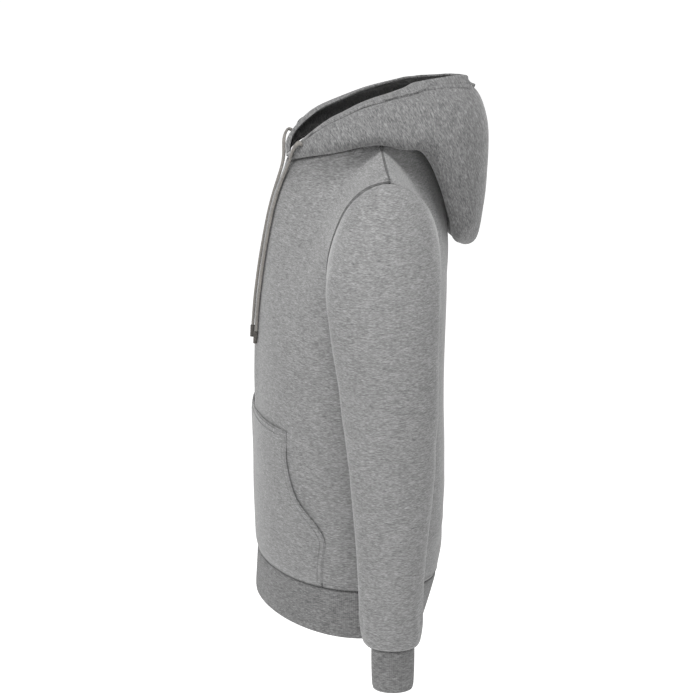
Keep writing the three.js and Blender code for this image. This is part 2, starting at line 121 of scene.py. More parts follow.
def outer_sheet(node, seen_from, toward):
    """The layer of a wall that a straight look from outside meets first."""
    shape = quads_of(node)
    tree = BVHTree.FromBMesh(shape)
    hit = tree.ray_cast(Vector(seen_from), (Vector(toward) - Vector(seen_from)).normalized())
    shape.faces.ensure_lookup_table()
    layer = {shape.faces[hit[2]]}
    waiting = list(layer)
    while waiting:
        face = waiting.pop()
        for edge in face.edges:
            for other in edge.link_faces:
                if other not in layer and face.normal.angle(other.normal) < EDGE_TURN:
                    layer.add(other)
                    waiting.append(other)
    rest = [face for face in shape.faces if face not in layer]
    bmesh.ops.delete(shape, geom=rest, context="FACES")
    mesh = mesh_from(shape, node)
    print(node, "outer layer:", len(mesh.polygons), "faces")
    return mesh


def with_modifiers(piece):
    """Makes what the piece's modifiers do part of its mesh."""
    seen = piece.evaluated_get(bpy.context.evaluated_depsgraph_get())
    mesh = bpy.data.meshes.new_from_object(seen)
    piece.modifiers.clear()
    piece.data = mesh
    return piece


# %% [markdown]
# A subdivision surface shrinks away from its cage. The garment has to keep its size, so the cage is
# pushed out by what the surface falls short, a few times over, until the surface goes through the
# CAD wall's own points.

# %% Smooth sheets that keep their size
FITTING_PASSES = 3
FITTING_SHARE = 0.8


def refined(piece, levels):
    subdivision = piece.modifiers.new("smooth", "SUBSURF")
    subdivision.levels = levels
    subdivision.render_levels = levels
    subdivision.boundary_smooth = "PRESERVE_CORNERS"
    wanted = [vertex.co.copy() for vertex in piece.data.vertices]
    for _ in range(FITTING_PASSES):
        seen = piece.evaluated_get(bpy.context.evaluated_depsgraph_get())
        reached = [seen.data.vertices[i].co.copy() for i in range(len(wanted))]
        for vertex, want, have in zip(piece.data.vertices, wanted, reached):
            vertex.co += (want - have) * FITTING_SHARE
        piece.data.update()
    short = max((want - have).length for want, have in zip(wanted, reached))
    print(piece.name, "furthest from its points:", round(short * 1000, 2), "mm")
    return with_modifiers(piece)


# %% [markdown]
# Soft folds are pressed into a sheet one by one. Each is a short line on the cloth with a width and a
# depth. The cloth moves in along the line and bulges a little beside it, as a real fold does.

# %% Creases pressed one by one
BULGE_AT = 1.7
BULGE_SHARE = 0.35


def distance_to_line(point, start, end):
    along = end - start
    share = max(0.0, min(1.0, (point - start).dot(along) / along.length_squared))
    return (point - start - along * share).length, share


def press_creases(piece, creases):
    """Each crease is start, end, width and depth, in millimetres."""
    normals = [vertex.normal.copy() for vertex in piece.data.vertices]
    for start, end, width, depth in creases:
        first = Vector(start) / 1000
        last = Vector(end) / 1000
        reach = width / 1000
        for vertex, normal in zip(piece.data.vertices, normals):
            away, share = distance_to_line(vertex.co, first, last)
            if away < 3.5 * reach:
                fade = math.sin(math.pi * (0.12 + 0.76 * share)) ** 0.7
                trough = math.exp(-((away / reach) ** 2))
                bulge = math.exp(-((away / reach - BULGE_AT) ** 2) / 0.5)
                vertex.co -= normal * (depth / 1000) * fade * (trough - BULGE_SHARE * bulge)
    piece.data.update()


# %% [markdown]
# Where two pieces are sewn together the cloth dips into the seam. The sheet's border goes in a
# little, and each point keeps its distance to the topstitched seams for the material to read.

# %% Seam dips
SEAM_DIP = 0.0020
SEAM_DIP_WIDTH = 0.0034


def border_points(mesh):
    shape = bmesh.new()
    shape.from_mesh(mesh)
    points = [vertex.co.copy() for vertex in shape.verts if vertex.is_boundary]
    shape.free()
    return points


def tree_of(points):
    tree = KDTree(len(points))
    for i, point in enumerate(points):
        tree.insert(point, i)
    tree.balance()
    return tree


def dip_seams(piece, dip=SEAM_DIP, topstitched=None, free=None):
    """Presses the border in, and measures how far each point is from a seam and from its stitches.

    The tests take a border point in millimetres. `free` picks the edges that are sewn to nothing.
    """
    mesh = piece.data
    points = border_points(mesh)
    seams = tree_of(points)
    chosen = [point for point in points if topstitched and topstitched(point * 1000)]
    lines = tree_of(chosen) if chosen else None
    joined = [point for point in points if not free or not free(point * 1000)]
    joins = tree_of(joined) if joined else None
    normals = [vertex.normal.copy() for vertex in mesh.vertices]
    away = mesh.attributes.new("from_stitching", "FLOAT", "POINT")
    # Distance to a sewn seam, along which the material paints shade.
    inside = mesh.attributes.new("from_seam", "FLOAT", "POINT")
    for i, vertex in enumerate(mesh.vertices):
        away.data[i].value = lines.find(vertex.co)[2] if lines else 1.0
        inside.data[i].value = joins.find(vertex.co)[2] if joins else 1.0
        near = seams.find(vertex.co)[2]
        vertex.co -= normals[i] * dip * math.exp(-((near / SEAM_DIP_WIDTH) ** 2))
    mesh.update()


# %% [markdown]
# A wall of cloth is the sheet and a copy of it further in, joined round the border. Solidify does
# this, and shares the corners out so that the wall keeps its thickness on a curve.

# %% Walls of cloth
FLEECE = 0.002
RIB = 0.0024
EDGE_ROUND = 0.0007
EDGE_ANGLE = math.radians(60)


def walled(piece, thickness, shares=None):
    """Gives a sheet its wall. `shares` names a vertex group for a wall that changes."""
    wall = piece.modifiers.new("wall", "SOLIDIFY")
    wall.thickness = thickness
    wall.offset = -1
    if shares:
        wall.vertex_group = shares
    edge = piece.modifiers.new("edge", "BEVEL")
    edge.width = EDGE_ROUND
    edge.segments = 2
    edge.limit_method = "ANGLE"
    edge.angle_limit = EDGE_ANGLE
    return with_modifiers(piece)


def shaded_smooth(piece):
    piece.data.polygons.foreach_set("use_smooth", [True] * len(piece.data.polygons))
    piece.data.update()


# %% [markdown]
# Heather fleece is knitted from yarn in which pale and dark fibres are mixed before spinning, so it
# is speckled along each row of stitches. The body's rows run level, and the hood is cut so that
# they run steeply down. Noise stretched along the rows gives these flecks. The nap scatters light
# at the rim of each form, which is what the sheen is for.

# %% Colours and nodes
def linear(code):
    values = [int(code[i:i + 2], 16) / 255 for i in (1, 3, 5)]
    parts = [v / 12.92 if v <= 0.04045 else ((v + 0.055) / 1.055) ** 2.4 for v in values]
    return (*parts, 1.0)


def node(tree, kind, settings=None, **inputs):
    """Adds a node. An input is a value, or another node's output to link from."""
    made = tree.nodes.new(kind)
    for key, value in (settings or {}).items():
        setattr(made, key, value)
    for key, value in inputs.items():
        socket = made.inputs[int(key[1:])] if key[1:].isdigit() else made.inputs[key.replace("_", " ")]
        if isinstance(value, bpy.types.NodeSocket):
            tree.links.new(value, socket)
        else:
            socket.default_value = value
    return made


def new_material(name, roughness, sheen):
    material = bpy.data.materials.new(name)
    material.use_nodes = True
    shader = material.node_tree.nodes["Principled BSDF"]
    shader.inputs["Roughness"].default_value = roughness
    shader.inputs["Sheen Weight"].default_value = sheen
    shader.inputs["Sheen Roughness"].default_value = 0.45
    shader.inputs["Specular IOR Level"].default_value = 0.25
    return material, material.node_tree, shader


# %% Heather fleece
FLECK = 0.0009
FLECK_STRETCH = 5.0
SLUB = 0.0023
MOTTLE = 0.03
MOTTLE_SHARE = 0.08
NEEDLE_LINES = (0.0016, 0.0078)
NEEDLE_GROOVE = 0.0007
NEEDLE_DEPTH = 0.0006
PUCKER_REACH = 0.009
PUCKER_SIZE = 0.004


def heather(name, dark, middle, pale, turn=(0, 0, 0), sheen=0.3, slub_share=0.5, spread=0.30, grain=1.0):
    """Flecked cloth whose rows of stitches run level before the turn."""
    material, tree, shader = new_material(name, 0.95, sheen)
    place = node(tree, "ShaderNodeTexCoord").outputs["Object"]
    turned = node(tree, "ShaderNodeMapping", Vector=place, Rotation=turn).outputs[0]
    stretch = (1 / FLECK_STRETCH, 1 / FLECK_STRETCH, 1.0)
    rows = node(tree, "ShaderNodeMapping", Vector=turned, Scale=stretch).outputs[0]
    fleck = node(
        tree, "ShaderNodeTexNoise", Vector=rows, Scale=1 / (FLECK * grain), Detail=2.0, Roughness=0.6,
    ).outputs["Fac"]
    slub = node(
        tree, "ShaderNodeTexNoise", Vector=rows, Scale=1 / (SLUB * grain), Detail=2.0, Roughness=0.55,
    ).outputs["Fac"]
    mottle = node(tree, "ShaderNodeTexNoise", Vector=turned, Scale=1 / MOTTLE, Detail=1.0).outputs["Fac"]
    add = {"operation": "MULTIPLY_ADD"}
    both = node(tree, "ShaderNodeMath", add, _0=slub, _1=slub_share, _2=fleck).outputs[0]
    mixed = node(tree, "ShaderNodeMath", add, _0=mottle, _1=MOTTLE_SHARE, _2=both).outputs[0]
    centre = 0.5 * (1 + slub_share + MOTTLE_SHARE)
    span = node(
        tree, "ShaderNodeMapRange", Value=mixed, From_Min=centre - spread, From_Max=centre + spread,
    ).outputs[0]
    ramp = node(tree, "ShaderNodeValToRGB", _0=span)
    stops = ramp.color_ramp.elements
    stops[0].position = 0.05
    stops[0].color = linear(dark)
    stops[1].position = 0.95
    stops[1].color = linear(pale)
    stops.new(0.5).color = linear(middle)
    tree.links.new(ramp.outputs[0], shader.inputs["Base Color"])
    return material, tree, shader, turned, fleck


# Painted shade: how dark the colour gets at a seam, and over what width.
SEAM_SHADE = 0.30
SEAM_SHADE_WIDTH = 0.0040


def painted_seam_shade(tree, shader):
    """Painted shade: little light reaches into a seam, so the colour darkens over the last few millimetres.
    """
    inside = node(tree, "ShaderNodeAttribute", {"attribute_name": "from_seam"}).outputs["Fac"]
    share = node(
        tree, "ShaderNodeMapRange", {"interpolation_type": "SMOOTHSTEP"}, Value=inside,
        From_Min=0.0, From_Max=SEAM_SHADE_WIDTH, To_Min=SEAM_SHADE, To_Max=1.0,
    ).outputs[0]
    colour = shader.inputs["Base Color"].links[0].from_socket
    shaded = node(tree, "ShaderNodeVectorMath", {"operation": "SCALE"}, _0=colour, Scale=share).outputs[0]
    tree.links.new(shaded, shader.inputs["Base Color"])


def napped(material, tree, shader, turned, fleck):
    """The brushed nap, and the grooves that twin needles press into the cloth beside a seam."""
    # Painted shade in the cloth's colour at its seams.
    painted_seam_shade(tree, shader)
    loops = node(tree, "ShaderNodeBump", Height=fleck, Strength=0.3, Distance=0.0005).outputs[0]
    away = node(tree, "ShaderNodeAttribute", {"attribute_name": "from_stitching"}).outputs["Fac"]
    height = None
    for line in NEEDLE_LINES:
        off = node(tree, "ShaderNodeMath", {"operation": "SUBTRACT"}, _0=away, _1=line).outputs[0]
        near = node(tree, "ShaderNodeMath", {"operation": "ABSOLUTE"}, _0=off).outputs[0]
        groove = node(
            tree, "ShaderNodeMapRange", {"interpolation_type": "SMOOTHSTEP"}, Value=near,
            From_Min=0.0, From_Max=NEEDLE_GROOVE * 2, To_Min=-1.0, To_Max=0.0,
        ).outputs[0]
        if height is None:
            height = groove
        else:
            height = node(tree, "ShaderNodeMath", _0=height, _1=groove).outputs[0]
    pucker = node(tree, "ShaderNodeTexNoise", Vector=turned, Scale=1 / PUCKER_SIZE, Detail=0.0).outputs["Fac"]
    reach = node(
        tree, "ShaderNodeMapRange", Value=away, From_Min=0.0, From_Max=PUCKER_REACH, To_Min=1.2, To_Max=0.0,
    ).outputs[0]
    puckered = node(
        tree, "ShaderNodeMath", {"operation": "MULTIPLY_ADD"}, _0=pucker, _1=reach, _2=height,
    ).outputs[0]
    sewn = node(
        tree, "ShaderNodeBump", Height=puckered, Strength=0.9, Distance=NEEDLE_DEPTH, Normal=loops,
    ).outputs[0]
    tree.links.new(sewn, shader.inputs["Normal"])
    return material


HOOD_TURN = (math.radians(68), 0.0, 0.0)
body_fleece = napped(*heather("heather_fleece", "#5d5d5d", "#7d7d7d", "#9c9c9c"))
# The hood is the body's cloth; its tones are set darker as painted shade, for a hood that stands in less
# light.
hood_fleece_painted_darker = napped(*heather(
    "heather_fleece_hood", "#4c4c4d", "#6e6e6e", "#909090", turn=HOOD_TURN, slub_share=0.6,
))
print("Fleece:", body_fleece.name, hood_fleece_painted_darker.name)

# %% [markdown]
# Rib knit has upright ridges. They are too fine for geometry at arm's length, so a wave on the
# distance round the band raises them, at a usual pitch.

# %% Rib knit, cord and thread
RIB_PITCH = 0.0028
RIB_HEIGHT = 0.0005


def ribbed(material, tree, shader, turned, fleck):
    # Painted shade in the rib's colour at its seam.
    painted_seam_shade(tree, shader)
    around = node(tree, "ShaderNodeUVMap", {"uv_map": "round_the_band"}).outputs[0]
    wave = node(
        tree, "ShaderNodeTexWave", {"bands_direction": "X"}, Vector=around,
        Scale=math.pi / (10 * RIB_PITCH), Distortion=0.0,
    ).outputs["Fac"]
    ridges = node(tree, "ShaderNodeBump", Height=wave, Strength=0.7, Distance=RIB_HEIGHT).outputs[0]
    loops = node(
        tree, "ShaderNodeBump", Height=fleck, Strength=0.3, Distance=0.0004, Normal=ridges,
    ).outputs[0]
    tree.links.new(loops, shader.inputs["Normal"])
    return material


def bumped(material, tree, shader, turned, fleck):
    relief = node(tree, "ShaderNodeBump", Height=fleck, Strength=0.5, Distance=0.0005).outputs[0]
    tree.links.new(relief, shader.inputs["Normal"])
    return material


# Its tones are set darker than the body fleece's: painted shade, as the hem and cuffs face down, away from
# the lights.
rib_knit_painted_darker = ribbed(*heather(
    "heather_rib", "#535353", "#6f6f6f", "#8a8a8a", sheen=0.2, slub_share=0.6, spread=0.26,
))
cord_cotton = bumped(*heather(
    "braided_cotton", "#605e5b", "#7a7774", "#949089", turn=HOOD_TURN, sheen=0.1, grain=0.7,
))
tip_thread = bumped(*heather("bound_thread", "#3f3d3a", "#55524f", "#6c6965", sheen=0.05, grain=0.5))
seam_thread = bumped(*heather("seam_thread", "#616161", "#797979", "#909090", sheen=0.1, grain=0.5))

# %% [markdown]
# Every finished piece rides on the garment's one body, takes its material and hides the CAD wall
# that it stands for.

# %% Finishing a piece
def finished(piece, material, node_name=None):
    piece.data.materials.clear()
    piece.data.materials.append(material)
    shaded_smooth(piece)
    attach(piece, "root")
    if node_name:
        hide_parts(node_name)
    triangles = sum(len(face.vertices) - 2 for face in piece.data.polygons)
    print(piece.name, "triangles:", triangles)
    return piece


def area_of(mesh):
    return sum(face.area for face in mesh.polygons)


# %% [markdown]
# The two drawcords leave the casing at the throat and hang down the chest. Their CAD walls already
# have the right route, so each is refined into a soft flat braid.

# %% Drawcords
CORD_ROUTE = [
    (59.71, -125.19, -7.06),
    (60.5, -129.3, -5.2),
    (58.2, -133.6, -9.4),
    (53, -136.6, -15.8),
    (46, -138.1, -23),
    (37.5, -139, -31.5),
    (29, -140.6, -40.5),
    (22.5, -143.6, -51),
    (18, -149, -66),
    (16, -157.6, -92),
    (16.5, -163.8, -116),
    (17.5, -170.8, -151),
    (18.5, -176.9, -186),
    (19.5, -181, -215),
    (20, -184.6, -245),
    (20.5, -187.5, -282),
]
ROUTE_POINTS = 40


def smooth_route(points, count):
    """Evenly spaced points of a poly Bezier through the route."""
    curve = bpy.data.curves.new("route", "CURVE")
    curve.dimensions = "3D"
    curve.resolution_u = 24
    line = curve.splines.new("BEZIER")
    line.bezier_points.add(len(points) - 1)
    for place, point in zip(line.bezier_points, points):
        place.co = point
        place.handle_left_type = "AUTO"
        place.handle_right_type = "AUTO"
    carrier = linked("route", curve)
    seen = carrier.evaluated_get(bpy.context.evaluated_depsgraph_get())
    mesh = seen.to_mesh()
    trail = [vertex.co.copy() for vertex in mesh.vertices]
    seen.to_mesh_clear()
    bpy.data.objects.remove(carrier)
    lengths = [0.0]
    for a, b in zip(trail, trail[1:]):
        lengths.append(lengths[-1] + (b - a).length)
    even = []
    at = 0
    for k in range(count + 1):
        target = lengths[-1] * k / count
        while at < len(trail) - 2 and lengths[at + 1] < target:
            at += 1
        share = (target - lengths[at]) / (lengths[at + 1] - lengths[at])
        even.append(trail[at].lerp(trail[at + 1], share))
    return even, lengths[-1]


def make_cord(side, sign):
    name = f"cord_{side}"
    mesh = mesh_from(quads_of(name), f"drawcord_{side}")
    piece = refined(linked(f"drawcord_{side}", mesh), 1)
    finished(piece, cord_cotton, name)
    route = [Vector((x * sign, y, z)) / 1000 for x, y, z in CORD_ROUTE]
    even, length = smooth_route(route, ROUTE_POINTS)
    print(piece.name, "length:", round(length, 4))
    return piece, even, length


# %% Bound tips
WRAPS = 16
TIP_SIDES = 20
TIP_LENGTH = 0.018
TIP_FOOT_RADIUS = 0.0026
TIP_RADIUS = 0.0027
TIP_WIDENING = 0.0006
TIP_ROUNDING = 0.35
TIP_ROUND_FROM = 0.94
TIP_ROUND_OVER = 0.06
WRAP_SWELL = 0.00016


def middle_of(points):
    return sum(points, Vector()) / len(points)


def make_tip(side):
    low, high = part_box(f"cord_tip_{side}")
    shape = bmesh.new()
    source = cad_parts[f"cord_tip_{side}"].data
    ends = [vertex.co for vertex in source.vertices]
    half_way = (low.z + high.z) / 2
    top = middle_of([p for p in ends if p.z > half_way])
    foot = middle_of([p for p in ends if p.z <= half_way])
    bmesh.ops.create_circle(shape, cap_ends=True, segments=TIP_SIDES, radius=TIP_FOOT_RADIUS)
    edge = list(shape.edges)
    rings = 4 * WRAPS
    for ring in range(rings):
        out = bmesh.ops.extrude_edge_only(shape, edges=edge)["geom"]
        points = [g for g in out if isinstance(g, bmesh.types.BMVert)]
        edge = [g for g in out if isinstance(g, bmesh.types.BMEdge)]
        share = (ring + 1) / rings
        radius = TIP_RADIUS + TIP_WIDENING * share
        radius += WRAP_SWELL * math.sin(2 * math.pi * share * WRAPS)
        radius *= 1 - TIP_ROUNDING * max(0.0, share - TIP_ROUND_FROM) / TIP_ROUND_OVER
        for point in points:
            flat = Vector((point.co.x, point.co.y, 0)).normalized() * radius
            point.co = Vector((flat.x, flat.y, TIP_LENGTH * share))
    bmesh.ops.contextual_create(shape, geom=edge)
    turn = (top - foot).to_track_quat("Z", "Y")
    bmesh.ops.rotate(shape, verts=shape.verts, cent=(0, 0, 0), matrix=turn.to_matrix())
    bmesh.ops.translate(shape, verts=shape.verts, vec=foot)
    bmesh.ops.recalc_face_normals(shape, faces=shape.faces)
    name = f"bound_tip_{side}"
    piece = linked(name, mesh_from(shape, name))
    return finished(piece, tip_thread, f"cord_tip_{side}")


for side, sign in (("left", 1), ("right", -1)):
    tip = make_tip(side)
    cord, even, length = make_cord(side, sign)

# %% [markdown]
# The body's two panels are one sheet each. Filled out, a body of heavy fleece shows few folds: a soft
# pull from the underarm to the chest, and a slight blousing where the rib draws the hem in.

# %% Front and back
FRONT_CREASES = [
    # start, end, width, depth
    ((188, -96, -205), (150, -150, -262), 13, 2.2),
    ((-188, -96, -205), (-150, -150, -262), 13, 2.0),
    ((196, -90, -250), (170, -135, -330), 16, 1.6),
    ((-196, -90, -250), (-172, -132, -322), 16, 1.5),
    ((150, -150, -60), (105, -145, -130), 22, 1.4),
    ((-150, -150, -60), (-100, -148, -124), 22, 1.3),
    ((60, -190, -560), (120, -172, -592), 12, 1.3),
    ((-40, -190, -566), (-110, -176, -596), 12, 1.2),
]
BACK_CREASES = [
    ((188, 30, -208), (140, 66, -262), 15, 2.2),
    ((-188, 30, -208), (-142, 66, -256), 15, 2.1),
    ((194, 12, -262), (160, 56, -340), 17, 1.7),
    ((-194, 12, -262), (-158, 57, -348), 17, 1.6),
    ((-90, 76, -520), (70, 80, -548), 24, 2.0),
    ((40, 80, -572), (150, 56, -590), 15, 1.7),
    ((-160, 52, -560), (-60, 78, -586), 15, 1.6),
]
PANEL_LEVELS = 3
SHOULDER_DROP = 0.0060
SHOULDER_WIDTH = 0.021
NECK_POINT_X = 91
SHOULDER_POINT_X = 192
SHOULDER_LOWEST_Z = -0.045


def soften_shoulder(piece):
    """Heavy cloth rounds over the shoulder seam, where the flat panels would meet in a ridge."""
    edge = [p for p in border_points(piece.data) if NECK_POINT_X < abs(p.x * 1000) < SHOULDER_POINT_X]
    ridge = tree_of([p for p in edge if p.z > SHOULDER_LOWEST_Z])
    for vertex in piece.data.vertices:
        across = (abs(vertex.co.x) * 1000 - NECK_POINT_X) / (SHOULDER_POINT_X - NECK_POINT_X)
        if 0 < across < 1:
            near = ridge.find(vertex.co)[2]
            fade = math.sin(math.pi * across) ** 0.5
            vertex.co.z -= SHOULDER_DROP * fade * math.exp(-((near / SHOULDER_WIDTH) ** 2))
    piece.data.update()


LAID_DIP = 0.0026
LAID_WIDTH = 0.010
POCKET_TOP_Z = -0.404
POCKET_FOOT_Z = -0.556
POCKET_TOP_DEPTH = 0.012
POCKET_DIP = 0.0004


def lay_down(piece):
    """The pocket's top and the sides under its mouths are sewn flat to the front."""
    low_edge = POCKET_TOP_Z - POCKET_TOP_DEPTH
    edge = [p for p in border_points(piece.data) if p.z > low_edge or p.z < POCKET_FOOT_Z]
    flat = tree_of(edge)
    normals = [vertex.normal.copy() for vertex in piece.data.vertices]
    for normal, vertex in zip(normals, piece.data.vertices):
        near = flat.find(vertex.co)[2]
        vertex.co -= normal * LAID_DIP * math.exp(-((near / LAID_WIDTH) ** 2))
    piece.data.update()


def make_panel(node_name, name, seen_from, toward, creases, material, topstitched=None, free=None):
    piece = refined(linked(name, outer_sheet(node_name, seen_from, toward)), PANEL_LEVELS)
    press_creases(piece, creases)
    if node_name in ("front", "back"):
        soften_shoulder(piece)
    if free:
        lay_down(piece)
        dip_seams(piece, POCKET_DIP, topstitched, free)
    else:
        dip_seams(piece, topstitched=topstitched)
    area = area_of(piece.data)
    sheet = piece.data.copy()
    walled(piece, FLEECE)
    finished(piece, material, node_name)
    print(name, "cut area:", round(area, 4))
    return piece, sheet, area


def on_armhole(point):
    return abs(point.x) > 188 and -216 < point.z < -34


def on_neck(point):
    return abs(point.x) < 92 and point.z > -60


def on_hem(point):
    return point.z < -600


def at_wrist(point):
    return point.z < -668


def on_pocket_edge(point):
    return point.z > -612


def body_topstitching(point):
    return on_armhole(point) or on_neck(point) or on_hem(point)


front, front_sheet, front_area = make_panel(
    "front", "front_panel", (0, -1, -0.35), (0, 0, -0.35), FRONT_CREASES,
    body_fleece, body_topstitching,
)
back, back_sheet, back_area = make_panel(
    "back", "back_panel", (0, 1, -0.35), (0, 0, -0.35), BACK_CREASES,
    body_fleece, body_topstitching,
)

# %% [markdown]
# A set-in sleeve hangs nearly smooth and gathers a little where the narrower cuff takes it in.

# %% Sleeves
SLEEVE_CREASES = [
    ((300, -100, -330), (262, -104, -392), 15, 1.5),
    ((316, -50, -404), (285, -88, -436), 14, 1.3),
    ((222, -70, -372), (252, -96, -430), 14, 1.6),
    ((222, -10, -330), (214, -50, -380), 13, 2.0),
    ((300, 20, -356), (258, 34, -410), 15, 1.6),
    ((290, -84, -560), (304, -50, -604), 12, 1.6),
    ((305, -46, -618), (298, -66, -656), 8, 1.8),
    ((310, -20, -612), (306, -12, -660), 8, 1.9),
    ((282, -74, -622), (276, -72, -662), 7, 1.5),
    ((252, -74, -612), (257, -70, -664), 8, 1.6),
    ((290, 10, -610), (284, 8, -662), 8, 1.7),
    ((256, 12, -620), (260, 8, -664), 8, 1.5),
    ((228, -40, -610), (235, -38, -660), 8, 1.7),
]


def mirrored_creases(creases):
    return [((-a[0], a[1], a[2]), (-b[0], b[1], b[2]), width, depth) for a, b, width, depth in creases]


sleeves = {}
for side, sign in (("left", 1), ("right", -1)):
    creases = SLEEVE_CREASES if sign > 0 else mirrored_creases(SLEEVE_CREASES)
    sleeves[side] = make_panel(
        f"sleeve_{side}", f"set_in_sleeve_{side}", (sign, -0.03, -0.4), (sign * 0.27, -0.03, -0.4),
        creases, body_fleece, at_wrist,
    )

# %% [markdown]
# The kangaroo pocket is a second layer on the front.

# %% Pocket
POCKET_CREASES = [
    ((-50, -196, -470), (60, -194, -500), 30, 1.0),
]
pocket, pocket_sheet, pocket_area = make_panel(
    "pocket", "kangaroo_pocket", (0, -1, -0.5), (0, 0, -0.5), POCKET_CREASES,
    body_fleece, on_pocket_edge, on_pocket_edge,
)

# %% [markdown]
# Each half of the hood runs from the neck seam over the shoulder, round its fold and up to the
# casing at the rim. Its cloth hangs in soft folds from the neck to the lowest point at the back.

# %% Hood
HOOD_CREASES = [
    ((40, 96, 40), (30, 132, -60), 20, 1.6),
    ((88, 40, 12), (76, 96, -40), 16, 1.4),
    ((104, -20, 6), (96, 30, 16), 14, 1.0),
]
CASING = 0.024
CASING_SWELL = 0.0013
CASING_SECTION_SHARE = 0.5
CASING_GROOVE = 0.0011
CASING_GROOVE_WIDTH = 0.0032
CASING_SHADE_OFF = 0.0010
CASING_BLEND = 0.03
CASING_END_Y = 0.119
CASING_END_FADE = 6
CASING_WALL_SHARE = 1.3
CASING_THICK_SHARE = 0.8
CASING_THIN_OVER = 0.006
CENTRE_FADE = 0.014
HOOD_DIP = 0.0012
RIM_PEAK = (0, 0.127, 0.069)
PEAK_REACH = 0.026
SHEET_PASSES = 2
PEAK_PASSES = 10
LAST_PASSES = 1
CENTRE_SEAM_X = 0.002


def on_neck_seam(point):
    return abs(math.hypot(point.x, point.y + 47) - 94) < 4.5 and point.z < 7


def on_rim(point):
    """The rim is the part of a hood half's border that is neither neck seam nor centre seam."""
    return not on_neck_seam(point) and abs(point.x) > 0.6


def shape_casing(piece):
    """The folded casing swells between the rim and its rows of stitches."""
    mesh = piece.data
    border = border_points(mesh)
    edge = [point for point in border if on_rim(point * 1000)]
    rim = tree_of(edge)
    seam = tree_of([point for point in border if on_neck_seam(point * 1000)])
    sharp = [max(1.0, CASING / (CASING_SECTION_SHARE * seam.find(point)[2])) for point in edge]
    scales = []
    for point in edge:
        close = [sharp[place] for _, place, _ in rim.find_range(point, CASING_BLEND)]
        scales.append(sum(close) / len(close))
    normals = [vertex.normal.copy() for vertex in mesh.vertices]
    weights = []
    stitches = mesh.attributes["from_stitching"]
    seams = mesh.attributes["from_seam"]
    for i, vertex in enumerate(mesh.vertices):
        _, place, away = rim.find(vertex.co)
        scale = scales[place]
        away = away * scale + max(0.0, vertex.co.y - CASING_END_Y) * CASING_END_FADE
        share = min(away / CASING, 1.0)
        lift = CASING_SWELL * math.sin(math.pi * share) ** 0.8 if away < CASING else 0.0
        lift -= CASING_GROOVE * math.exp(-(((away - CASING) / CASING_GROOVE_WIDTH) ** 2))
        vertex.co += normals[i] * lift / scale * min(1.0, abs(vertex.co.x) / CENTRE_FADE)
        stitches.data[i].value = max(0.0, CASING + NEEDLE_LINES[0] - away)
        # Painted shade also runs along the casing's row of stitches.
        seams.data[i].value = min(seams.data[i].value, abs(away - CASING) + CASING_SHADE_OFF)
        past = away - CASING * CASING_THICK_SHARE
        thick = 1.0 if past < 0 else max(0.0, 1 - past / CASING_THIN_OVER)
        thick *= min(1.0, abs(vertex.co.x) / CENTRE_FADE)
        weights.append((1 + (CASING_WALL_SHARE - 1) * thick) / CASING_WALL_SHARE)
    group = piece.vertex_groups.new(name="wall")
    for i, weight in enumerate(weights):
        group.add([i], weight, "REPLACE")
    mesh.update()


def smoothed(piece, passes, chosen=None):
    """Evens out the sheet inside its border, or only the points that pass the test."""
    shape = bmesh.new()
    shape.from_mesh(piece.data)
    if chosen:
        points = [vertex for vertex in shape.verts if chosen(vertex.co)]
    else:
        points = [vertex for vertex in shape.verts if not vertex.is_boundary]
    seam = [vertex for vertex in points if vertex.is_boundary and abs(vertex.co.x) < CENTRE_SEAM_X]
    seam_places = {vertex: vertex.co.x for vertex in seam}
    for _ in range(passes):
        bmesh.ops.smooth_vert(
            shape, verts=points, factor=0.5, use_axis_x=True, use_axis_y=True, use_axis_z=True,
        )
        for vertex, x in seam_places.items():
            vertex.co.x = x
    shape.to_mesh(piece.data)
    shape.free()


def at_peak(point):
    return (point - Vector(RIM_PEAK)).length < PEAK_REACH


# %% [markdown]
# Behind the shoulder the hood's fold hangs down over the neck seam, so its lower edge is drawn down.

# %% The fold behind the shoulder
FOLD_PLACE = (104, 26, 4)
FOLD_REACH = 40
FOLD_DROP = 15


def draw_fold_down(piece, sign):
    """Lets the cloth round one place hang lower, less and less with the distance."""
    place = Vector((FOLD_PLACE[0] * sign, FOLD_PLACE[1], FOLD_PLACE[2])) / 1000
    for vertex in piece.data.vertices:
        away = (vertex.co - place).length * 1000 / FOLD_REACH
        vertex.co.z -= FOLD_DROP / 1000 * math.exp(-(away ** 2))
    piece.data.update()


for side, sign in (("left", 1), ("right", -1)):
    name = f"hood_half_{side}"
    layer = outer_sheet(f"hood_{side}", (sign, 0.03, 0.01), (0, 0.03, 0.01))
    piece = refined(linked(name, layer), PANEL_LEVELS)
    smoothed(piece, SHEET_PASSES)
    smoothed(piece, PEAK_PASSES, at_peak)
    draw_fold_down(piece, sign)
    press_creases(piece, HOOD_CREASES if sign > 0 else mirrored_creases(HOOD_CREASES))
    dip_seams(piece, HOOD_DIP, free=on_rim)
    shape_casing(piece)
    smoothed(piece, LAST_PASSES)
    sheet = piece.data.copy()
    walled(piece, FLEECE * CASING_WALL_SHARE, "wall")
    finished(piece, hood_fleece_painted_darker, f"hood_{side}")

# %% [markdown]
# The hem and the cuffs are rib tubes. A map that is laid round each band gives the wave of the
# ridges one even pitch, with no jump where the round closes.

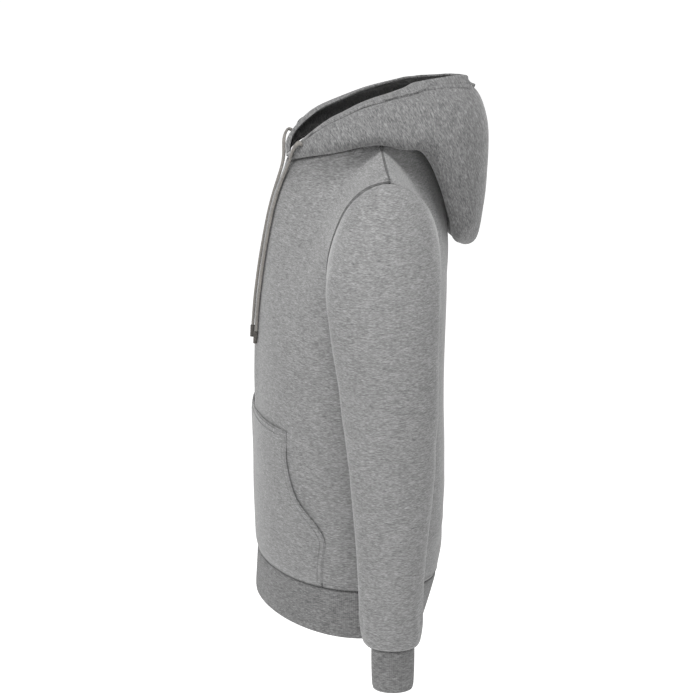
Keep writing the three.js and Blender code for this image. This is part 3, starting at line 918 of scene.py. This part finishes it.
# %% Rib bands
def lay_round(piece, centre):
    """Maps the distance round the band to u and the height to v, in metres."""
    mesh = piece.data
    middle = Vector((*centre, 0))
    turns = [math.atan2(v.co.y - middle.y, v.co.x - middle.x) for v in mesh.vertices]
    low = min(vertex.co.z for vertex in mesh.vertices)
    ring = sorted(
        (turn, vertex.co.copy()) for turn, vertex in zip(turns, mesh.vertices) if vertex.co.z < low + 0.025
    )
    bins = 720
    radii = [0.0] * bins
    counts = [0] * bins
    for turn, point in ring:
        slot = int((turn + math.pi) / (2 * math.pi) * bins) % bins
        radii[slot] += math.hypot(point.x - middle.x, point.y - middle.y)
        counts[slot] += 1
    last = next(radii[k] / counts[k] for k in range(bins) if counts[k])
    lengths = [0.0]
    for k in range(bins):
        last = radii[k] / counts[k] if counts[k] else last
        lengths.append(lengths[-1] + last * 2 * math.pi / bins)
    whole = lengths[-1]

    def length_at(turn):
        place = (turn + math.pi) / (2 * math.pi) * bins
        k = min(int(place), bins - 1)
        return lengths[k] + (lengths[k + 1] - lengths[k]) * (place - k)

    layer = mesh.uv_layers.new(name="round_the_band")
    for face in mesh.polygons:
        values = [length_at(turns[i]) for i in face.vertices]
        wraps = max(values) - min(values) > whole / 2
        for loop, i, value in zip(face.loop_indices, face.vertices, values):
            along = value + whole if wraps and value < whole / 2 else value
            layer.data[loop].uv = (along, mesh.vertices[i].co.z)


SEAM_ALLOWANCE = 0.0016
TUCK_WIDTH = 0.004
BAND_TILT = 0.04
RIB_DIP = 0.0009


def tuck_under(piece):
    """The rib's upper edge goes up into the seam, under the edge of the cloth above."""
    top = max(vertex.co.z for vertex in piece.data.vertices)
    edge = tree_of([p for p in border_points(piece.data) if p.z > top - BAND_TILT])
    for vertex in piece.data.vertices:
        near = edge.find(vertex.co)[2]
        vertex.co.z += SEAM_ALLOWANCE * math.exp(-((near / TUCK_WIDTH) ** 2))
    piece.data.update()


def make_rib(node_name, name, seen_from, toward, centre, levels):
    piece = refined(linked(name, outer_sheet(node_name, seen_from, toward)), levels)
    tuck_under(piece)
    heights = [vertex.co.z for vertex in piece.data.vertices]
    middle = sum(heights) / len(heights) * 1000
    dip_seams(piece, RIB_DIP, free=lambda point: point.z < middle)
    lay_round(piece, centre)
    area = area_of(piece.data)
    sheet = piece.data.copy()
    walled(piece, RIB)
    finished(piece, rib_knit_painted_darker, node_name)
    print(name, "cut area:", round(area, 4))
    return piece, sheet, area


hem = make_rib("hem_band", "hem_rib", (0, -1, -0.66), (0, 0, -0.66), (0, -0.05), 3)
for side, sign in (("left", 1), ("right", -1)):
    make_rib(
        f"cuff_{side}", f"cuff_rib_{side}", (sign, -0.027, -0.705), (sign * 0.27, -0.027, -0.705),
        (sign * 0.27, -0.027), 4,
    )

# %% [markdown]
# Topstitching is two rows of short stitches, six millimetres apart, that hold the seam allowance
# down. One stitch is modelled, and set again and again along a line that keeps its distance to the
# seam. Each stitch sinks a little into the cloth.

# %% Rows of stitches
STITCH_LENGTH = 0.0031
STITCH_STEP = 0.0042
STITCH_WIDTH = 0.00085
STITCH_HEIGHT = 0.0007
STITCH_LIFT = 0.0001


def one_stitch():
    shape = bmesh.new()
    bmesh.ops.create_uvsphere(shape, u_segments=6, v_segments=4, radius=0.5)
    return mesh_from(shape, "one_stitch")


def border_runs(sheet, chosen):
    """Runs of border points that pass the test, each with its normal and the way in."""
    shape = bmesh.new()
    shape.from_mesh(sheet)
    shape.normal_update()
    runs = []
    waiting = {edge for edge in shape.edges if edge.is_boundary}
    while waiting:
        start = waiting.pop()
        loop = [start.verts[0], start.verts[1]]
        while True:
            ahead = [e for e in loop[-1].link_edges if e in waiting]
            if not ahead:
                break
            waiting.discard(ahead[0])
            loop.append(ahead[0].other_vert(loop[-1]))
        backward = True
        while backward:
            ahead = [e for e in loop[0].link_edges if e in waiting]
            backward = bool(ahead)
            if ahead:
                waiting.discard(ahead[0])
                loop.insert(0, ahead[0].other_vert(loop[0]))
        marks = [chosen(vertex.co * 1000) for vertex in loop]
        first = next((k for k, mark in enumerate(marks) if not mark), 0)
        order = loop[first:] + loop[:first] if not all(marks) else loop
        run = []
        for vertex in order:
            if chosen(vertex.co * 1000):
                inner = [e.other_vert(vertex).co for e in vertex.link_edges if not e.is_boundary]
                inward = sum(((p - vertex.co).normalized() for p in inner), Vector())
                run.append((vertex.co.copy(), inward))
            elif len(run) > 3:
                runs.append(run)
                run = []
            else:
                run = []
        if len(run) > 3:
            runs.append(run)
    shape.free()
    return runs


def stitch_rows(shape, sheet, chosen, offsets, stitch):
    """Adds rows of stitches to a bmesh, at given distances from a seam."""
    surface_mesh = bmesh.new()
    surface_mesh.from_mesh(sheet)
    surface = BVHTree.FromBMesh(surface_mesh)
    surface_mesh.free()
    count = 0
    for run in border_runs(sheet, chosen):
        lengths = [0.0]
        for (a, _), (b, _) in zip(run, run[1:]):
            lengths.append(lengths[-1] + (b - a).length)
        for offset in offsets:
            at = 0
            steps = int(lengths[-1] / STITCH_STEP)
            for k in range(steps):
                target = (k + 0.5) * STITCH_STEP
                while at < len(run) - 2 and lengths[at + 1] < target:
                    at += 1
                share = (target - lengths[at]) / max(lengths[at + 1] - lengths[at], 1e-9)
                (a, into_a), (b, into_b) = run[at], run[at + 1]
                along = (b - a).normalized()
                inward = into_a.lerp(into_b, share)
                inward = (inward - along * inward.dot(along)).normalized()
                point, normal, _, _ = surface.find_nearest(a.lerp(b, share) + inward * offset)
                side = normal.cross(along).normalized()
                along = side.cross(normal)
                start = len(shape.verts)
                shape.from_mesh(stitch)
                shape.verts.ensure_lookup_table()
                for vertex in shape.verts[start:]:
                    x, y, z = vertex.co
                    vertex.co = (
                        point + along * x * STITCH_LENGTH + side * y * STITCH_WIDTH
                        + normal * (z * STITCH_HEIGHT + STITCH_LIFT)
                    )
                count += 1
    return count


def sewn(name, rows):
    """One object of stitches for a garment piece. Each row is a sheet, a test and the offsets."""
    stitch = one_stitch()
    shape = bmesh.new()
    count = sum(stitch_rows(shape, sheet, chosen, offsets, stitch) for sheet, chosen, offsets in rows)
    print(name, "stitches:", count)
    return finished(linked(name, mesh_from(shape, name)), seam_thread)


# %% Topstitching of each piece
sewn("front_topstitching", [(front_sheet, body_topstitching, NEEDLE_LINES)])
sewn("back_topstitching", [(back_sheet, body_topstitching, NEEDLE_LINES)])
sewn("pocket_topstitching", [(pocket_sheet, on_pocket_edge, NEEDLE_LINES)])
sewn("sleeve_topstitching", [
    (sleeves["left"][1], at_wrist, NEEDLE_LINES),
    (sleeves["right"][1], at_wrist, NEEDLE_LINES),
])

# %% [markdown]
# The cut areas of the body panels, sleeves, pocket and rib bands are measured on their sheets and
# printed. The sizes are measured on the solids, apart from the sleeves' length and the hood
# halves, which are estimates.


# %% [markdown]
# A plain pale floor and large soft lights, as in a product studio.

# %% Floor and lights
FLOOR_Z = -1.15
FLOOR_SIZE = 60

shape = bmesh.new()
bmesh.ops.create_grid(shape, x_segments=1, y_segments=1, size=FLOOR_SIZE)
bmesh.ops.translate(shape, verts=shape.verts, vec=(0, 0, FLOOR_Z))
floor = linked("floor", mesh_from(shape, "floor"))
floor_paint, floor_tree, floor_shader = new_material("pale_floor", 0.9, 0.0)
floor_shader.inputs["Base Color"].default_value = linear("#c0c0c0")
floor_shader.inputs["Emission Color"].default_value = linear("#ffffff")
floor_shader.inputs["Emission Strength"].default_value = 0.95
floor.data.materials.append(floor_paint)

world = bpy.data.worlds.new("studio")
world.use_nodes = True
world.node_tree.nodes["Background"].inputs["Color"].default_value = (1, 1, 1, 1)
world.node_tree.nodes["Background"].inputs["Strength"].default_value = 0.2
bpy.context.scene.world = world
bpy.context.scene.view_settings.view_transform = "Standard"


def soft_light(name, place, aim, size, watts):
    data = bpy.data.lights.new(name, "AREA")
    data.shape = "SQUARE"
    data.size = size
    data.energy = watts
    light = bpy.data.objects.new(name, data)
    light.location = place
    light.rotation_euler = (Vector(aim) - Vector(place)).to_track_quat("-Z", "Y").to_euler()
    bpy.context.scene.collection.objects.link(light)
    return light


soft_light("key", (2.7, -2.6, 1.9), (0.1, -0.05, -0.3), 2.0, 62)
soft_light("top", (0.9, -0.1, 2.7), (0, -0.05, -0.1), 1.4, 84)
soft_light("side", (3.4, -0.8, 1.0), (0, -0.05, -0.1), 1.4, 26)
